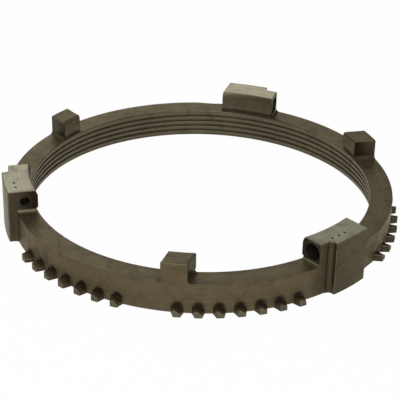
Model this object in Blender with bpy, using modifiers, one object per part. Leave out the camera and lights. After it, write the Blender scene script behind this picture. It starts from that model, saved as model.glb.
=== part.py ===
"""Synchronizer ring of a gearbox's range change, machined from one steel forging.

The ring is turned inside to a cone with four annular grooves. Three tall lugs, each with a stepped
bore for a spring and plunger, and three plain stop lugs are left standing on its top face when the
face between them is milled away. Groups of teeth stand on the foot of the outer wall, and each tooth
has its point towards one side.

Frame: metres, +Z up, origin at the middle of the bottom face, and the first tall lug on +Y. One
third of the ring, with its tall lug on +X, is modelled first and then repeated round the axis.
"""
import math

import bmesh
import bpy
from mathutils import Matrix

MM = 0.001
DEG = math.pi / 180.0

# Ring body
RING_RADIUS = 105.0 * MM
RING_HEIGHT = 17.2 * MM
TOP_FACE_WIDTH = 12.2 * MM
CONE_HALF_ANGLE = 8.0 * DEG
OUTER_BOTTOM_CHAMFER = 0.8 * MM
INNER_EDGE_CHAMFER = 0.3 * MM

# Annular grooves in the inner cone
GROOVE_PITCH = 3.36 * MM
GROOVE_WIDTH = 1.5 * MM
GROOVE_ROOT_WIDTH = 1.0 * MM
GROOVE_DEPTH = 0.9 * MM
FIRST_GROOVE_DROP = 3.5 * MM
LAST_GROOVE_MARGIN = 2.5 * MM

# Tall lugs
LUG_COUNT = 3
FIRST_LUG_ANGLE = 90.0 * DEG
LUG_LENGTH = 30.8 * MM
LUG_RISE = 12.7 * MM
LUG_INNER_CHAMFER = 1.2 * MM
LUG_INNER_CHAMFER_DROP = 3.0 * MM
LUG_OUTER_CHAMFER = 0.5 * MM
LUG_UNDERCUT_DEPTH = 1.1 * MM
LUG_UNDERCUT_HEIGHT = 2.4 * MM
LUG_UNDERCUT_SLOPE = 0.6 * MM
FOOT_FILLET = 2.2 * MM

# Pad on the outside of each tall lug, with a slot before it and a set-back wall after it
PAD_RISE = 3.5 * MM
PAD_START = 8.0 * MM
PAD_FILLET = 2.0 * MM
SLOT_WIDTH = 4.6 * MM
SLOT_DEPTH = 0.7 * MM
RELIEF_DEPTH = 1.0 * MM
RELIEF_LENGTH = 11.0 * MM
RELIEF_RAMP = 6.0 * MM

# Stepped bore through each tall lug
BORE_DIAMETER = 9.2 * MM
BORE_DEPTH = 20.0 * MM
PIN_HOLE_DIAMETER = 5.0 * MM
BORE_INSET = 6.5 * MM
BORE_RISE = 6.4 * MM
DRILL_POINT_ANGLE = 118.0 * DEG

# Stop lugs
STOP_LUG_WIDTH = 13.3 * MM
STOP_LUG_RISE = 11.4 * MM
STOP_LUG_ANGLE = -49.2 * DEG
STOP_LUG_SKEW = 12.5 * DEG
STOP_LUG_CHAMFER = 0.6 * MM

# Teeth on the foot of the outer wall
TOOTH_PLACES = 63
TEETH_PER_GROUP = 7
TEETH_LEFT_OUT = 2
GROUPS_PER_LUG = 2
FIRST_TOOTH_ANGLE = 19.75 * DEG
TOOTH_RISE = 3.9 * MM
TOOTH_TIP_WIDTH = 3.8 * MM
TOOTH_FLANK_ANGLE = 16.5 * DEG
TOOTH_BOTTOM = 0.1 * MM
TOOTH_POINT = 4.1 * MM
TOOTH_POINT_OFFSET = 0.9 * MM
TOOTH_HIGH_SIDE = 3.9 * MM
TOOTH_LOW_SIDE = 2.2 * MM

# Dished pocket that the cutter leaves in the wall above each tooth
POCKET_RADIUS = 3.6 * MM
POCKET_FLOOR_RADIUS = 2.4 * MM
POCKET_MIDDLE = 4.0 * MM
POCKET_DEPTH = 0.8 * MM

# Fineness of round shapes
RING_STEPS = 120
BORE_STEPS = 24
POCKET_STEPS = 16
FILLET_STEPS = 5
ARC_STEPS = 8
MERGE_DISTANCE = 0.000001
SMOOTH_ANGLE = 30.0 * DEG

# How far a cutter runs past the metal, and how deep an added shape is rooted in it
OVERRUN = 2.0 * MM
ROOT = 2.0 * MM

STEEL_COLOUR = (0.105, 0.092, 0.072, 1.0)

LUG_TOP = RING_HEIGHT + LUG_RISE
HALF_LUG = LUG_LENGTH / 2
INNER_RADIUS = RING_RADIUS - TOP_FACE_WIDTH
PAD_RADIUS = RING_RADIUS + PAD_RISE
RELIEF_RADIUS = RING_RADIUS - RELIEF_DEPTH
TIP_RADIUS = RING_RADIUS + TOOTH_RISE
CLEAR_RADIUS = max(PAD_RADIUS, TIP_RADIUS) + OVERRUN
LUG_PITCH = 2 * math.pi / LUG_COUNT
TOOTH_PITCH = 2 * math.pi / TOOTH_PLACES

# Turns a plan in (x, y), with its depth along z, into a section across the ring on +X
ACROSS = Matrix(((0, 0, 1, 0), (1, 0, 0, 0), (0, 1, 0, 0), (0, 0, 0, 1)))


def new_collection(name):
    """Add a collection to the scene."""
    collection = bpy.data.collections.new(name)
    bpy.context.scene.collection.children.link(collection)
    return collection


def new_object(name, mesh, collection):
    """Add an object with this mesh or curve to a collection."""
    item = bpy.data.objects.new(name, mesh)
    collection.objects.link(item)
    return item


def baked(item):
    """Replace an object by the mesh that its curve or modifiers give, with doubles merged."""
    bpy.context.view_layer.update()
    shape = item.evaluated_get(bpy.context.evaluated_depsgraph_get())
    mesh = bpy.data.meshes.new_from_object(shape)
    mesh.transform(item.matrix_world)
    bm = bmesh.new()
    bm.from_mesh(mesh)
    bmesh.ops.remove_doubles(bm, verts=bm.verts, dist=MERGE_DISTANCE)
    bm.to_mesh(mesh)
    bm.free()
    name = item.name
    collection = item.users_collection[0]
    bpy.data.objects.remove(item, do_unlink=True)
    return new_object(name, mesh, collection)


def turned(name, section, steps, collection, start=0.0):
    """Turn a closed section of (radius, height) points, outer side first and downwards.

    Shapes that cut into each other start at different parts of a facet, so no two edges coincide.
    """
    mesh = bpy.data.meshes.new(name)
    count = len(section)
    angle = start * 2 * math.pi / steps
    points = [(radius * math.cos(angle), radius * math.sin(angle), height) for radius, height in section]
    mesh.from_pydata(points, [(i, (i + 1) % count) for i in range(count)], [])
    item = new_object(name, mesh, collection)
    screw = item.modifiers.new("Turn", "SCREW")
    screw.steps = steps
    screw.render_steps = steps
    screw.use_merge_vertices = True
    screw.merge_threshold = MERGE_DISTANCE
    return baked(item)


def plate(name, outline, low, high, collection):
    """Extrude a plan of (x, y) points from one height to another."""
    curve = bpy.data.curves.new(name, "CURVE")
    curve.dimensions = "2D"
    curve.fill_mode = "BOTH"
    curve.extrude = (high - low) / 2
    spline = curve.splines.new("POLY")
    spline.points.add(len(outline) - 1)
    for point, (x, y) in zip(spline.points, outline):
        point.co = (x, y, 0.0, 1.0)
    spline.use_cyclic_u = True
    item = baked(new_object(name, curve, collection))
    for vertex in item.data.vertices:
        vertex.co.z = high if vertex.co.z > 0.0 else low
    return item


def arc(centre, radius, start, end, steps):
    """Points of an arc, with both its ends."""
    angles = [start + (end - start) * i / steps for i in range(steps + 1)]
    return [(centre[0] + radius * math.cos(a), centre[1] + radius * math.sin(a)) for a in angles]


def repeated(item, angles):
    """Replace an object's mesh by copies of it, turned round the ring's axis."""
    bm = bmesh.new()
    for angle in angles:
        copy = item.data.copy()
        copy.transform(Matrix.Rotation(angle, 4, "Z"))
        bm.from_mesh(copy)
        bpy.data.meshes.remove(copy)
    bmesh.ops.remove_doubles(bm, verts=bm.verts, dist=MERGE_DISTANCE)
    bm.to_mesh(item.data)
    bm.free()
    return item


def combine(target, tool, operation, solver="EXACT"):
    """Join an object to the target, or cut it out of it, and keep it as a hidden guide.

    The exact solver leaves holes where the small teeth meet their pockets, so they take the other.
    """
    step = target.modifiers.new(tool.name, "BOOLEAN")
    step.operation = operation
    step.solver = solver
    step.object = tool
    tool.hide_render = True
    tool.display_type = "WIRE"


def cone_radius(height):
    """Radius of the inner cone at a height."""
    return INNER_RADIUS + (RING_HEIGHT - height) * math.tan(CONE_HALF_ANGLE)


def groove_heights():
    """Middles of the annular grooves, from the lowest up."""
    highest = RING_HEIGHT - FIRST_GROOVE_DROP
    count = 1 + int((highest - LAST_GROOVE_MARGIN) / GROOVE_PITCH)
    return [highest - GROOVE_PITCH * i for i in reversed(range(count))]


def groove(height):
    """Points of one groove in the cone, from its lower edge to its upper edge."""
    low, high = height - GROOVE_WIDTH / 2, height + GROOVE_WIDTH / 2
    root_low, root_high = height - GROOVE_ROOT_WIDTH / 2, height + GROOVE_ROOT_WIDTH / 2
    root = cone_radius(height) + GROOVE_DEPTH
    return [(cone_radius(low), low), (root, root_low), (root, root_high), (cone_radius(high), high)]


def blank_section():
    """Section of the turned blank, which is as high as the tall lugs and as wide as their pads."""
    outside = [(PAD_RADIUS, LUG_TOP), (PAD_RADIUS, 0.0)]
    cone = [
        (cone_radius(0.0) + INNER_EDGE_CHAMFER, 0.0),
        (cone_radius(INNER_EDGE_CHAMFER), INNER_EDGE_CHAMFER),
    ]
    for height in groove_heights():
        cone += groove(height)
    cone += [
        (INNER_RADIUS, RING_HEIGHT - INNER_EDGE_CHAMFER),
        (INNER_RADIUS + INNER_EDGE_CHAMFER, RING_HEIGHT),
    ]
    undercut = INNER_RADIUS + LUG_UNDERCUT_DEPTH
    shoulder = RING_HEIGHT + LUG_UNDERCUT_HEIGHT
    inside_lugs = [
        (undercut, RING_HEIGHT + INNER_EDGE_CHAMFER),
        (undercut, shoulder - LUG_UNDERCUT_SLOPE),
        (INNER_RADIUS, shoulder),
        (INNER_RADIUS, LUG_TOP - LUG_INNER_CHAMFER_DROP),
        (INNER_RADIUS + LUG_INNER_CHAMFER, LUG_TOP),
    ]
    return outside + cone + inside_lugs


def lug_block(name, width, top, collection):
    """Block across the wall on +X, as wide as a lug, with fillets at its foot.

    The chamfers on its upper edges only show on the stop lug, as the tall lug's block ends in the air.
    """
    half = width / 2
    toe = half + FOOT_FILLET
    low = RING_HEIGHT - OVERRUN
    right = arc((toe, RING_HEIGHT + FOOT_FILLET), FOOT_FILLET, -math.pi / 2, -math.pi, FILLET_STEPS)
    right += [(half, top - STOP_LUG_CHAMFER), (half - STOP_LUG_CHAMFER, top)]
    left = [(-y, z) for y, z in reversed(right)]
    outline = [(toe, low)] + right + left + [(-toe, low)]
    block = plate(name, outline, INNER_RADIUS / 2, CLEAR_RADIUS + OVERRUN, collection)
    block.data.transform(ACROSS)
    return block


def clearing(collection):
    """Cutter that mills the blank down to the ring's top face everywhere but at the lugs."""
    section = [
        (CLEAR_RADIUS, LUG_TOP + OVERRUN),
        (CLEAR_RADIUS, RING_HEIGHT),
        (INNER_RADIUS - OVERRUN, RING_HEIGHT),
        (INNER_RADIUS - OVERRUN, LUG_TOP + OVERRUN),
    ]
    cutter = turned("clearing", section, RING_STEPS, collection, start=0.25)
    combine(cutter, lug_block("tall lug", LUG_LENGTH, LUG_TOP + 2 * OVERRUN, collection), "DIFFERENCE")
    stop_lug = lug_block("stop lug", STOP_LUG_WIDTH, RING_HEIGHT + STOP_LUG_RISE, collection)
    middle = Matrix.Translation((RING_RADIUS - TOP_FACE_WIDTH / 2, 0.0, 0.0))
    skewed = middle @ Matrix.Rotation(-STOP_LUG_SKEW, 4, "Z") @ middle.inverted()
    stop_lug.data.transform(Matrix.Rotation(STOP_LUG_ANGLE, 4, "Z") @ skewed)
    combine(cutter, stop_lug, "DIFFERENCE")
    return cutter


def wall(collection):
    """Cutter that takes the blank down to the ring's outer wall everywhere but at the pads."""
    section = [
        (CLEAR_RADIUS, LUG_TOP + OVERRUN),
        (CLEAR_RADIUS, -OVERRUN),
        (RING_RADIUS - OUTER_BOTTOM_CHAMFER - OVERRUN, -OVERRUN),
        (RING_RADIUS, OUTER_BOTTOM_CHAMFER),
        (RING_RADIUS, LUG_TOP - LUG_OUTER_CHAMFER),
        (RING_RADIUS - LUG_OUTER_CHAMFER - OVERRUN, LUG_TOP + OVERRUN),
    ]
    cutter = turned("wall", section, RING_STEPS, collection, start=0.5)
    start = -PAD_START - SLOT_WIDTH / 2
    end = HALF_LUG + PAD_FILLET + OVERRUN
    low, high = -2 * OVERRUN, LUG_TOP + 2 * OVERRUN
    inside, outside = INNER_RADIUS / 2, CLEAR_RADIUS + OVERRUN
    outline = [(inside, start), (outside, start), (outside, end), (inside, end)]
    combine(cutter, plate("lug pad", outline, low, high, collection), "DIFFERENCE")
    return cutter


def pad_slot(collection):
    """Upright slot with a round bottom, cut before the pad."""
    radius = SLOT_WIDTH / 2
    middle = (RING_RADIUS - SLOT_DEPTH + radius, -PAD_START - radius)
    bottom = arc(middle, radius, 1.5 * math.pi, 0.5 * math.pi, ARC_STEPS)
    outline = [(CLEAR_RADIUS, bottom[0][1])] + bottom + [(CLEAR_RADIUS, bottom[-1][1])]
    return plate("pad slot", outline, -OVERRUN, LUG_TOP + OVERRUN, collection)


def wall_relief(name, fillet, low, high, collection):
    """Cut that ends the pad and sets the wall behind it back, with or without a filleted corner."""
    side = HALF_LUG + fillet
    foot = math.sqrt(RELIEF_RADIUS ** 2 - side ** 2)
    corner = [(foot, side)]
    if fillet:
        corner = arc((foot + fillet, side), fillet, 1.5 * math.pi, math.pi, FILLET_STEPS)
    start = math.asin(side / RELIEF_RADIUS)
    end = math.asin(HALF_LUG / RELIEF_RADIUS) + RELIEF_LENGTH / RELIEF_RADIUS
    floor = arc((0.0, 0.0), RELIEF_RADIUS, start, end, ARC_STEPS)[1:]
    past = end + 2 * RELIEF_RAMP / RELIEF_RADIUS
    ramp_top = RING_RADIUS + RELIEF_DEPTH
    beyond = [(radius * math.cos(past), radius * math.sin(past)) for radius in (ramp_top, CLEAR_RADIUS)]
    return plate(name, corner + floor + beyond + [(CLEAR_RADIUS, HALF_LUG)], low, high, collection)


def stepped_bore(collection):
    """Bore along the tall lug, wide at its clockwise end, with a drill point down to a pin hole."""
    wide = BORE_DIAMETER / 2
    narrow = PIN_HOLE_DIAMETER / 2
    mouth = -HALF_LUG - OVERRUN
    far_end = HALF_LUG + OVERRUN
    bottom = -HALF_LUG + BORE_DEPTH
    point = bottom + (wide - narrow) / math.tan(DRILL_POINT_ANGLE / 2)
    pin_hole = [(0.0, far_end), (narrow, far_end), (narrow, point)]
    plunger_bore = [(wide, bottom), (wide, mouth), (0.0, mouth)]
    bore = turned("stepped bore", pin_hole + plunger_bore, BORE_STEPS, collection)
    place = Matrix.Translation((RING_RADIUS - BORE_INSET, 0.0, RING_HEIGHT + BORE_RISE))
    bore.data.transform(place @ Matrix.Rotation(-math.pi / 2, 4, "X"))
    return bore


def tooth_angles():
    """Places of one lug's teeth, in groups with some places left out, seen from the lug's middle."""
    group_pitch = TEETH_PER_GROUP + TEETH_LEFT_OUT
    places = [g * group_pitch + t for g in range(GROUPS_PER_LUG) for t in range(TEETH_PER_GROUP)]
    angles = [FIRST_TOOTH_ANGLE + place * TOOTH_PITCH for place in places]
    return [(angle + LUG_PITCH / 2) % LUG_PITCH - LUG_PITCH / 2 for angle in angles]


def tooth_section(radius):
    """Section of a tooth on +X, at a radius, with its point nearer to the clockwise side."""
    half = TOOTH_TIP_WIDTH / 2
    spread = 1.0 + (TIP_RADIUS - radius) * math.tan(TOOTH_FLANK_ANGLE) / half
    foot = [(-half, TOOTH_BOTTOM), (half, TOOTH_BOTTOM)]
    top = [(half, TOOTH_LOW_SIDE), (-TOOTH_POINT_OFFSET, TOOTH_POINT), (-half, TOOTH_HIGH_SIDE)]
    return [(radius, y * spread, z) for y, z in foot + top]


def tooth(collection):
    """Tooth on +X, lofted from its rooted section to its narrower tip."""
    root = tooth_section(RING_RADIUS - ROOT)
    tip = tooth_section(TIP_RADIUS)
    count = len(root)
    sides = [(i, (i + 1) % count, count + (i + 1) % count, count + i) for i in range(count)]
    ends = [tuple(reversed(range(count))), tuple(range(count, 2 * count))]
    mesh = bpy.data.meshes.new("tooth")
    mesh.from_pydata(root + tip, [], sides + ends)
    return new_object("teeth", mesh, collection)


def pocket(collection):
    """Dished pocket in the wall on +X, cut from half its depth outside the wall."""
    reach = 1.5
    length = POCKET_DEPTH * reach
    mouth = POCKET_FLOOR_RADIUS + (POCKET_RADIUS - POCKET_FLOOR_RADIUS) * reach
    bm = bmesh.new()
    bmesh.ops.create_cone(
        bm, cap_ends=True, segments=POCKET_STEPS, radius1=POCKET_FLOOR_RADIUS, radius2=mouth, depth=length
    )
    mesh = bpy.data.meshes.new("pocket")
    bm.to_mesh(mesh)
    bm.free()
    place = Matrix.Translation((RING_RADIUS - POCKET_DEPTH + length / 2, 0.0, POCKET_MIDDLE))
    mesh.transform(place @ Matrix.Rotation(math.pi / 2, 4, "Y"))
    return new_object("pockets", mesh, collection)


def keep_one_part(item):
    """Cut away all but the stretch of the ring that belongs to the lug on +X."""
    item = baked(item)
    bm = bmesh.new()
    bm.from_mesh(item.data)
    for side in (-1, 1):
        angle = side * LUG_PITCH / 2
        normal = (-side * math.sin(angle), side * math.cos(angle), 0.0)
        everything = bm.verts[:] + bm.edges[:] + bm.faces[:]
        bmesh.ops.bisect_plane(bm, geom=everything, plane_no=normal, dist=MERGE_DISTANCE, clear_outer=True)
    bm.to_mesh(item.data)
    bm.free()
    return item


def steel():
    """Dark machined steel with a trace of oil."""
    material = bpy.data.materials.new("dark_machined_steel")
    material.use_nodes = True
    material.diffuse_color = STEEL_COLOUR
    shader = material.node_tree.nodes["Principled BSDF"]
    shader.inputs["Base Color"].default_value = STEEL_COLOUR
    shader.inputs["Metallic"].default_value = 0.8
    shader.inputs["Roughness"].default_value = 0.45
    return material


def ring():
    """Model the whole ring as one solid."""
    home = new_collection("synchronizer ring")
    cutters = new_collection("cutters")
    item = turned("synchronizer_ring", blank_section(), RING_STEPS, home)
    combine(item, wall(cutters), "DIFFERENCE")
    combine(item, clearing(cutters), "DIFFERENCE")
    above = wall_relief("relief above the face", 0.0, RING_HEIGHT, LUG_TOP + OVERRUN, cutters)
    below = wall_relief("relief below the face", PAD_FILLET, -OVERRUN, RING_HEIGHT, cutters)
    combine(item, above, "DIFFERENCE")
    combine(item, below, "DIFFERENCE")
    combine(item, pad_slot(cutters), "DIFFERENCE")
    combine(item, stepped_bore(cutters), "DIFFERENCE")
    combine(item, repeated(pocket(cutters), tooth_angles()), "DIFFERENCE")
    combine(item, repeated(tooth(cutters), tooth_angles()), "UNION", "MANIFOLD")
    item = keep_one_part(item)
    repeated(item, [FIRST_LUG_ANGLE + LUG_PITCH * i for i in range(LUG_COUNT)])
    item.data.materials.clear()
    item.data.materials.append(steel())
    item.data.shade_smooth()
    item.data.set_sharp_from_angle(angle=SMOOTH_ANGLE)


for leftover in list(bpy.data.objects):
    bpy.data.objects.remove(leftover, do_unlink=True)
ring()
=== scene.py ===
"""Looks of a gearbox synchronizer ring in dark machined steel, lying on a white studio floor.

One third of the ring is modelled round its tall lug on +X, turned to the three lugs' places and
joined. Sizes are the ring's own, in metres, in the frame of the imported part.
"""
import math

import bmesh
import bpy
from mathutils import Matrix, Vector


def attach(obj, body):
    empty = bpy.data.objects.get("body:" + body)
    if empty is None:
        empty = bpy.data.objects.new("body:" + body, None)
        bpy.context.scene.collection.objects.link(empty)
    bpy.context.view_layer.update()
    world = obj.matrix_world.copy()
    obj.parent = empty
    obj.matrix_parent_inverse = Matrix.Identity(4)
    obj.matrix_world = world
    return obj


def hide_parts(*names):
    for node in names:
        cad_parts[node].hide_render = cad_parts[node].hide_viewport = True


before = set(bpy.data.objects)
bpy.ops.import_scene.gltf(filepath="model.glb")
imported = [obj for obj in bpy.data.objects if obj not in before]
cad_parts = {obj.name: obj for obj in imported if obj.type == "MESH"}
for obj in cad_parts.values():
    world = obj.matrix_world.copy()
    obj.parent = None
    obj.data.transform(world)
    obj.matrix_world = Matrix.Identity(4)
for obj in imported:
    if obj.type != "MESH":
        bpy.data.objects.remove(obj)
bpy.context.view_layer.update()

MM = 0.001
DEG = math.pi / 180.0

# Ring body
RING_RADIUS = 105.0 * MM
RING_HEIGHT = 17.2 * MM
INNER_RADIUS = 92.8 * MM
CONE_HALF_ANGLE = 8.0 * DEG
BOTTOM_CHAMFER = 0.8 * MM
INNER_CHAMFER = 0.3 * MM
GROOVE_HEIGHTS = (3.62 * MM, 6.98 * MM, 10.34 * MM, 13.7 * MM)
GROOVE_WIDTH = 1.5 * MM
GROOVE_ROOT_WIDTH = 1.0 * MM
GROOVE_DEPTH = 0.9 * MM

# Tall lugs
LUG_ANGLES = (90.0 * DEG, 210.0 * DEG, 330.0 * DEG)
HALF_LUG = 15.4 * MM
LUG_TOP = 29.9 * MM
LUG_INNER_CHAMFER = 1.2 * MM
LUG_INNER_CHAMFER_DROP = 3.0 * MM
UNDERCUT_DEPTH = 1.1 * MM
UNDERCUT_HEIGHT = 2.4 * MM
UNDERCUT_SLOPE = 0.6 * MM
FOOT_FILLET = 2.2 * MM

# Pad, slot and relief on the outside of each tall lug
PAD_RADIUS = 108.5 * MM
PAD_START = 8.0 * MM
PAD_FILLET = 2.0 * MM
SLOT_WIDTH = 4.6 * MM
SLOT_DEPTH = 0.7 * MM
RELIEF_RADIUS = 104.0 * MM
RELIEF_LENGTH = 11.0 * MM
RELIEF_RAMP = 6.0 * MM

# Stepped bore along each tall lug
BORE_RADIUS = 4.6 * MM
BORE_DEPTH = 20.0 * MM
PIN_HOLE_RADIUS = 2.5 * MM
BORE_AXIS_RADIUS = 98.5 * MM
BORE_AXIS_HEIGHT = 23.6 * MM
DRILL_POINT_ANGLE = 118.0 * DEG

# Stop lugs
HALF_STOP_LUG = 6.65 * MM
STOP_LUG_TOP = 28.6 * MM
STOP_LUG_ANGLE = -49.2 * DEG
STOP_LUG_SKEW = 12.5 * DEG
WALL_MIDDLE = 98.9 * MM

# Teeth and the pockets above them
TOOTH_PITCH = 360.0 / 63 * DEG
TOOTH_GROUPS = (19.75 * DEG, -48.82 * DEG)
TEETH_PER_GROUP = 7
TIP_RADIUS = 108.9 * MM
TIP_HALF_WIDTH = 1.9 * MM
TOOTH_FLANK_ANGLE = 16.5 * DEG
TOOTH_BOTTOM = 0.1 * MM
TOOTH_POINT = 4.1 * MM
TOOTH_POINT_OFFSET = 0.9 * MM
TOOTH_HIGH_SIDE = 3.9 * MM
TOOTH_LOW_SIDE = 2.2 * MM
POCKET_RADIUS = 3.6 * MM
POCKET_FLOOR_RADIUS = 2.4 * MM
POCKET_MIDDLE = 4.0 * MM
POCKET_DEPTH = 0.8 * MM
POCKET_OVERCUT = 1.5

# Punch dots on the tall lugs' tops: the lug's angle, then the dot's place on that lug turned to +X
PUNCH_DOTS = (
    (210.0 * DEG, 103.0 * MM, 5.3 * MM),
    (210.0 * DEG, 102.6 * MM, 10.3 * MM),
    (330.0 * DEG, 102.5 * MM, -5.7 * MM),
    (330.0 * DEG, 102.7 * MM, -1.2 * MM),
    (330.0 * DEG, 102.8 * MM, 3.1 * MM),
)
PUNCH_RADIUS = 0.8 * MM
PUNCH_DEPTH = 0.5 * MM

# Fineness and working margins
THIRD = 120.0 * DEG
SPARE_ANGLE = 3.0 * DEG
RING_STEP = 1.0 * DEG
ROUND_STEPS = 48
FILLET_STEPS = 10
PUNCH_SIDES = 16
OVERRUN = 2.0 * MM
CLEAR_RADIUS = 111.0 * MM
ROOT_RADIUS = 102.0 * MM
MICROMETRE_DIGITS = 6
SEAM_GAP = 0.001 * MM
SLIVER = 0.02 * MM
FLAT_ANGLE = 0.3 * DEG

# Broken edges
SHARP_ANGLE = 50.0 * DEG
EDGE_ROUNDING = 0.2 * MM
STOP_LUG_ROUNDING = 0.75 * MM
TALL_LUG_ROUNDING = 0.45 * MM
EDGE_STEPS = 2
LUG_EDGE_STEPS = 3
SMOOTH_ANGLE = 60.0 * DEG

# Camera, fitted to the photograph: its distance is in ring radii, its shift in picture points
PICTURE_SIZE = 400
FOCAL_LENGTH = 1405.96
ELEVATION = 28.906 * DEG
TURN = 16.84 * DEG
ROLL = 1.3135 * DEG
DISTANCE = 7.4619
SHIFT_X = 0.4894
SHIFT_Y = 9.9671
SENSOR_WIDTH = 36.0
CLIP_START = 10.0 * MM

# White room: each light's name, place as seen from the camera's side, size in metres and watts
WORLD_LIGHT = 0.05
LIGHTS = (
    ("left light", (-1.3, 0.1, 0.6), 0.9, 6.3),
    ("right light", (1.3, 0.1, 0.6), 0.9, 3.7),
    ("high front light", (0.0, -1.2, 1.0), 0.9, 12.5),
    ("low front light", (0.0, -1.5, 0.35), 0.9, 6.8),
    ("back light", (-0.1, 1.2, 0.68), 0.9, 2.9),
    ("back left light", (-0.5, 1.1, 0.7), 0.9, 1.6),
    ("top light", (0.0, 0.0, 1.5), 1.2, 6.0),
)

# Floor: how bright it is to the camera and to the metal, and where the brighter front begins
FLOOR_SIZE = 6.0
FLOOR_GAP = 0.05 * MM
FLOOR_GREY = 0.85
FLOOR_ROUGHNESS = 0.9
SEEN_BRIGHTNESS = 0.97
MIRRORED_BRIGHTNESS = 0.55
FRONT_BRIGHTNESS = 0.5
FRONT_START = 95.0 * MM
FRONT_END = 125.0 * MM

# Steel: machining lines as lines and lengths per metre, and how strongly each noise shows
COARSE_LINES = (1500.0, 5.0)
FINE_LINES = (2600.0, 40.0)
LINE_CONTRAST = (0.3, 0.7)
STAIN_EDGE = (0.52, 0.68)
SPECKLE = 0.7
DULLING = 0.35
BRUSHING = 0.1
GRAIN_HEIGHT = 0.6
BUMP_DISTANCE = 0.004 * MM
SPECULAR_TINT = (0.88, 0.84, 0.74, 1.0)

# Colours of the painted shade in hollows and of the oily stains on the walls, and where the painted shade's
# masks begin and end
PAINTED_SHADE_COLOUR = (0.015, 0.0095, 0.005)
WALL_GRIME = (0.02, 0.016, 0.011)
POCKET_SHADE_CORE = 0.9 * MM
POCKET_SHADE_REACH = 4.0 * MM
SLOT_SHADE = (-1.5 * HALF_LUG / RING_RADIUS, -0.9 * HALF_LUG / RING_RADIUS)
ROOT_SHADE = (RING_RADIUS + 2.6 * MM, RING_RADIUS - 0.4 * MM)
LUG_END_SHADE = (BORE_AXIS_RADIUS + PIN_HOLE_RADIUS, INNER_RADIUS + 2.0 * MM)

# Telling the faces apart: least shares of a face's normal that point one way, and margins
STRAIGHT_ON = 0.9
CONE_SHARE = 0.5
ROOF_SHARE = 0.4
POCKET_SHARE = 0.3
DOT_SHARE = 0.2
FILLET_SHARE = 0.1
CONE_ZONE = INNER_RADIUS + 3.6 * MM
PAD_MARGIN = 0.3 * MM


def arc(centre, radius, start, end, steps):
    """Points of an arc, with both its ends."""
    angles = [start + (end - start) * i / steps for i in range(steps + 1)]
    return [(centre[0] + radius * math.cos(a), centre[1] + radius * math.sin(a)) for a in angles]


def drawn(name, outline, filled=True):
    """Draw an outline by extruding one vertex from point to point, and close and fill it."""
    bpy.ops.object.select_all(action="DESELECT")
    bpy.ops.mesh.primitive_plane_add(size=MM)
    item = bpy.context.object
    item.name = name
    bpy.ops.object.mode_set(mode="EDIT")
    bpy.ops.mesh.merge(type="CENTER")
    bpy.ops.transform.translate(value=outline[0])
    for here, there in zip(outline, outline[1:]):
        step = Vector(there) - Vector(here)
        bpy.ops.mesh.extrude_vertices_move(TRANSFORM_OT_translate={"value": step})
    bpy.ops.mesh.select_all(action="SELECT")
    if filled:
        bpy.ops.mesh.edge_face_add()
    bpy.ops.object.mode_set(mode="OBJECT")
    return item


def snapped(item):
    """Set every point to the nearest micrometre, so that faces that should be flush are."""
    for vertex in item.data.vertices:
        vertex.co = [round(value, MICROMETRE_DIGITS) for value in vertex.co]
    return item


def corner_numbers(part):
    """The numbers of an edge's or a face's points, in order."""
    return sorted(vertex.index for vertex in part.verts)


def in_order(item):
    """Sort points, edges and faces by their places, so that the next step works alike in each run."""
    mesh = bmesh.new()
    mesh.from_mesh(item.data)
    for rank, vertex in enumerate(sorted(mesh.verts, key=lambda vertex: tuple(vertex.co))):
        vertex.index = rank
    mesh.verts.sort()
    for parts in (mesh.edges, mesh.faces):
        for rank, part in enumerate(sorted(parts, key=corner_numbers)):
            part.index = rank
        parts.sort()
    mesh.to_mesh(item.data)
    mesh.free()
    return item


def facing_out(item):
    """Merge doubled points and turn every face outwards."""
    bpy.context.view_layer.objects.active = item
    bpy.ops.object.mode_set(mode="EDIT")
    bpy.ops.mesh.select_all(action="SELECT")
    bpy.ops.mesh.remove_doubles(threshold=SEAM_GAP)
    bpy.ops.mesh.normals_make_consistent(inside=False)
    bpy.ops.object.mode_set(mode="OBJECT")
    return in_order(item)


def prism(name, outline, direction):
    """Extrude a drawn outline in one direction."""
    item = drawn(name, outline)
    bpy.ops.object.mode_set(mode="EDIT")
    bpy.ops.mesh.extrude_region_move(TRANSFORM_OT_translate={"value": direction})
    bpy.ops.object.mode_set(mode="OBJECT")
    return facing_out(snapped(item))


def plate(name, plan, low, high):
    """Extrude a plan of (x, y) points from one height to another."""
    return prism(name, [(x, y, low) for x, y in plan], (0.0, 0.0, high - low))


def spun(item, start, end, step):
    """Spin what is drawn at +X round the ring's axis, from one angle to another."""
    bpy.ops.object.mode_set(mode="EDIT")
    bpy.ops.mesh.select_all(action="SELECT")
    bpy.ops.mesh.spin(steps=round((end - start) / step), angle=start - end, center=(0, 0, 0), axis=(0, 0, 1))
    bpy.ops.object.mode_set(mode="OBJECT")
    item.data.transform(Matrix.Rotation(start, 4, "Z"))
    return facing_out(item)


def turned_part(name, section, reach, step):
    """Spin a closed section of (radius, height) points as far to both sides of +X."""
    item = drawn(name, [(radius, 0.0, height) for radius, height in section])
    return spun(item, -reach, reach, step)


def turned_solid(name, section, steps):
    """Spin a section of (radius, height) points that starts and ends on the axis all the way round."""
    item = drawn(name, [(radius, 0.0, height) for radius, height in section], filled=False)
    return spun(item, 0.0, 2 * math.pi, 2 * math.pi / steps)


def apply(item, kind, **settings):
    """Add a modifier with these settings and apply it."""
    modifier = item.modifiers.new(kind.title(), kind)
    for key, value in settings.items():
        setattr(modifier, key, value)
    bpy.ops.object.select_all(action="DESELECT")
    item.select_set(True)
    bpy.context.view_layer.objects.active = item
    bpy.ops.object.modifier_apply(modifier=modifier.name)


def combine(item, tool, operation, solver="EXACT"):
    """Cut a tool out of a piece, or join it on, and remove the tool."""
    apply(item, "BOOLEAN", object=tool, operation=operation, solver=solver)
    bpy.data.objects.remove(tool, do_unlink=True)


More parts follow.
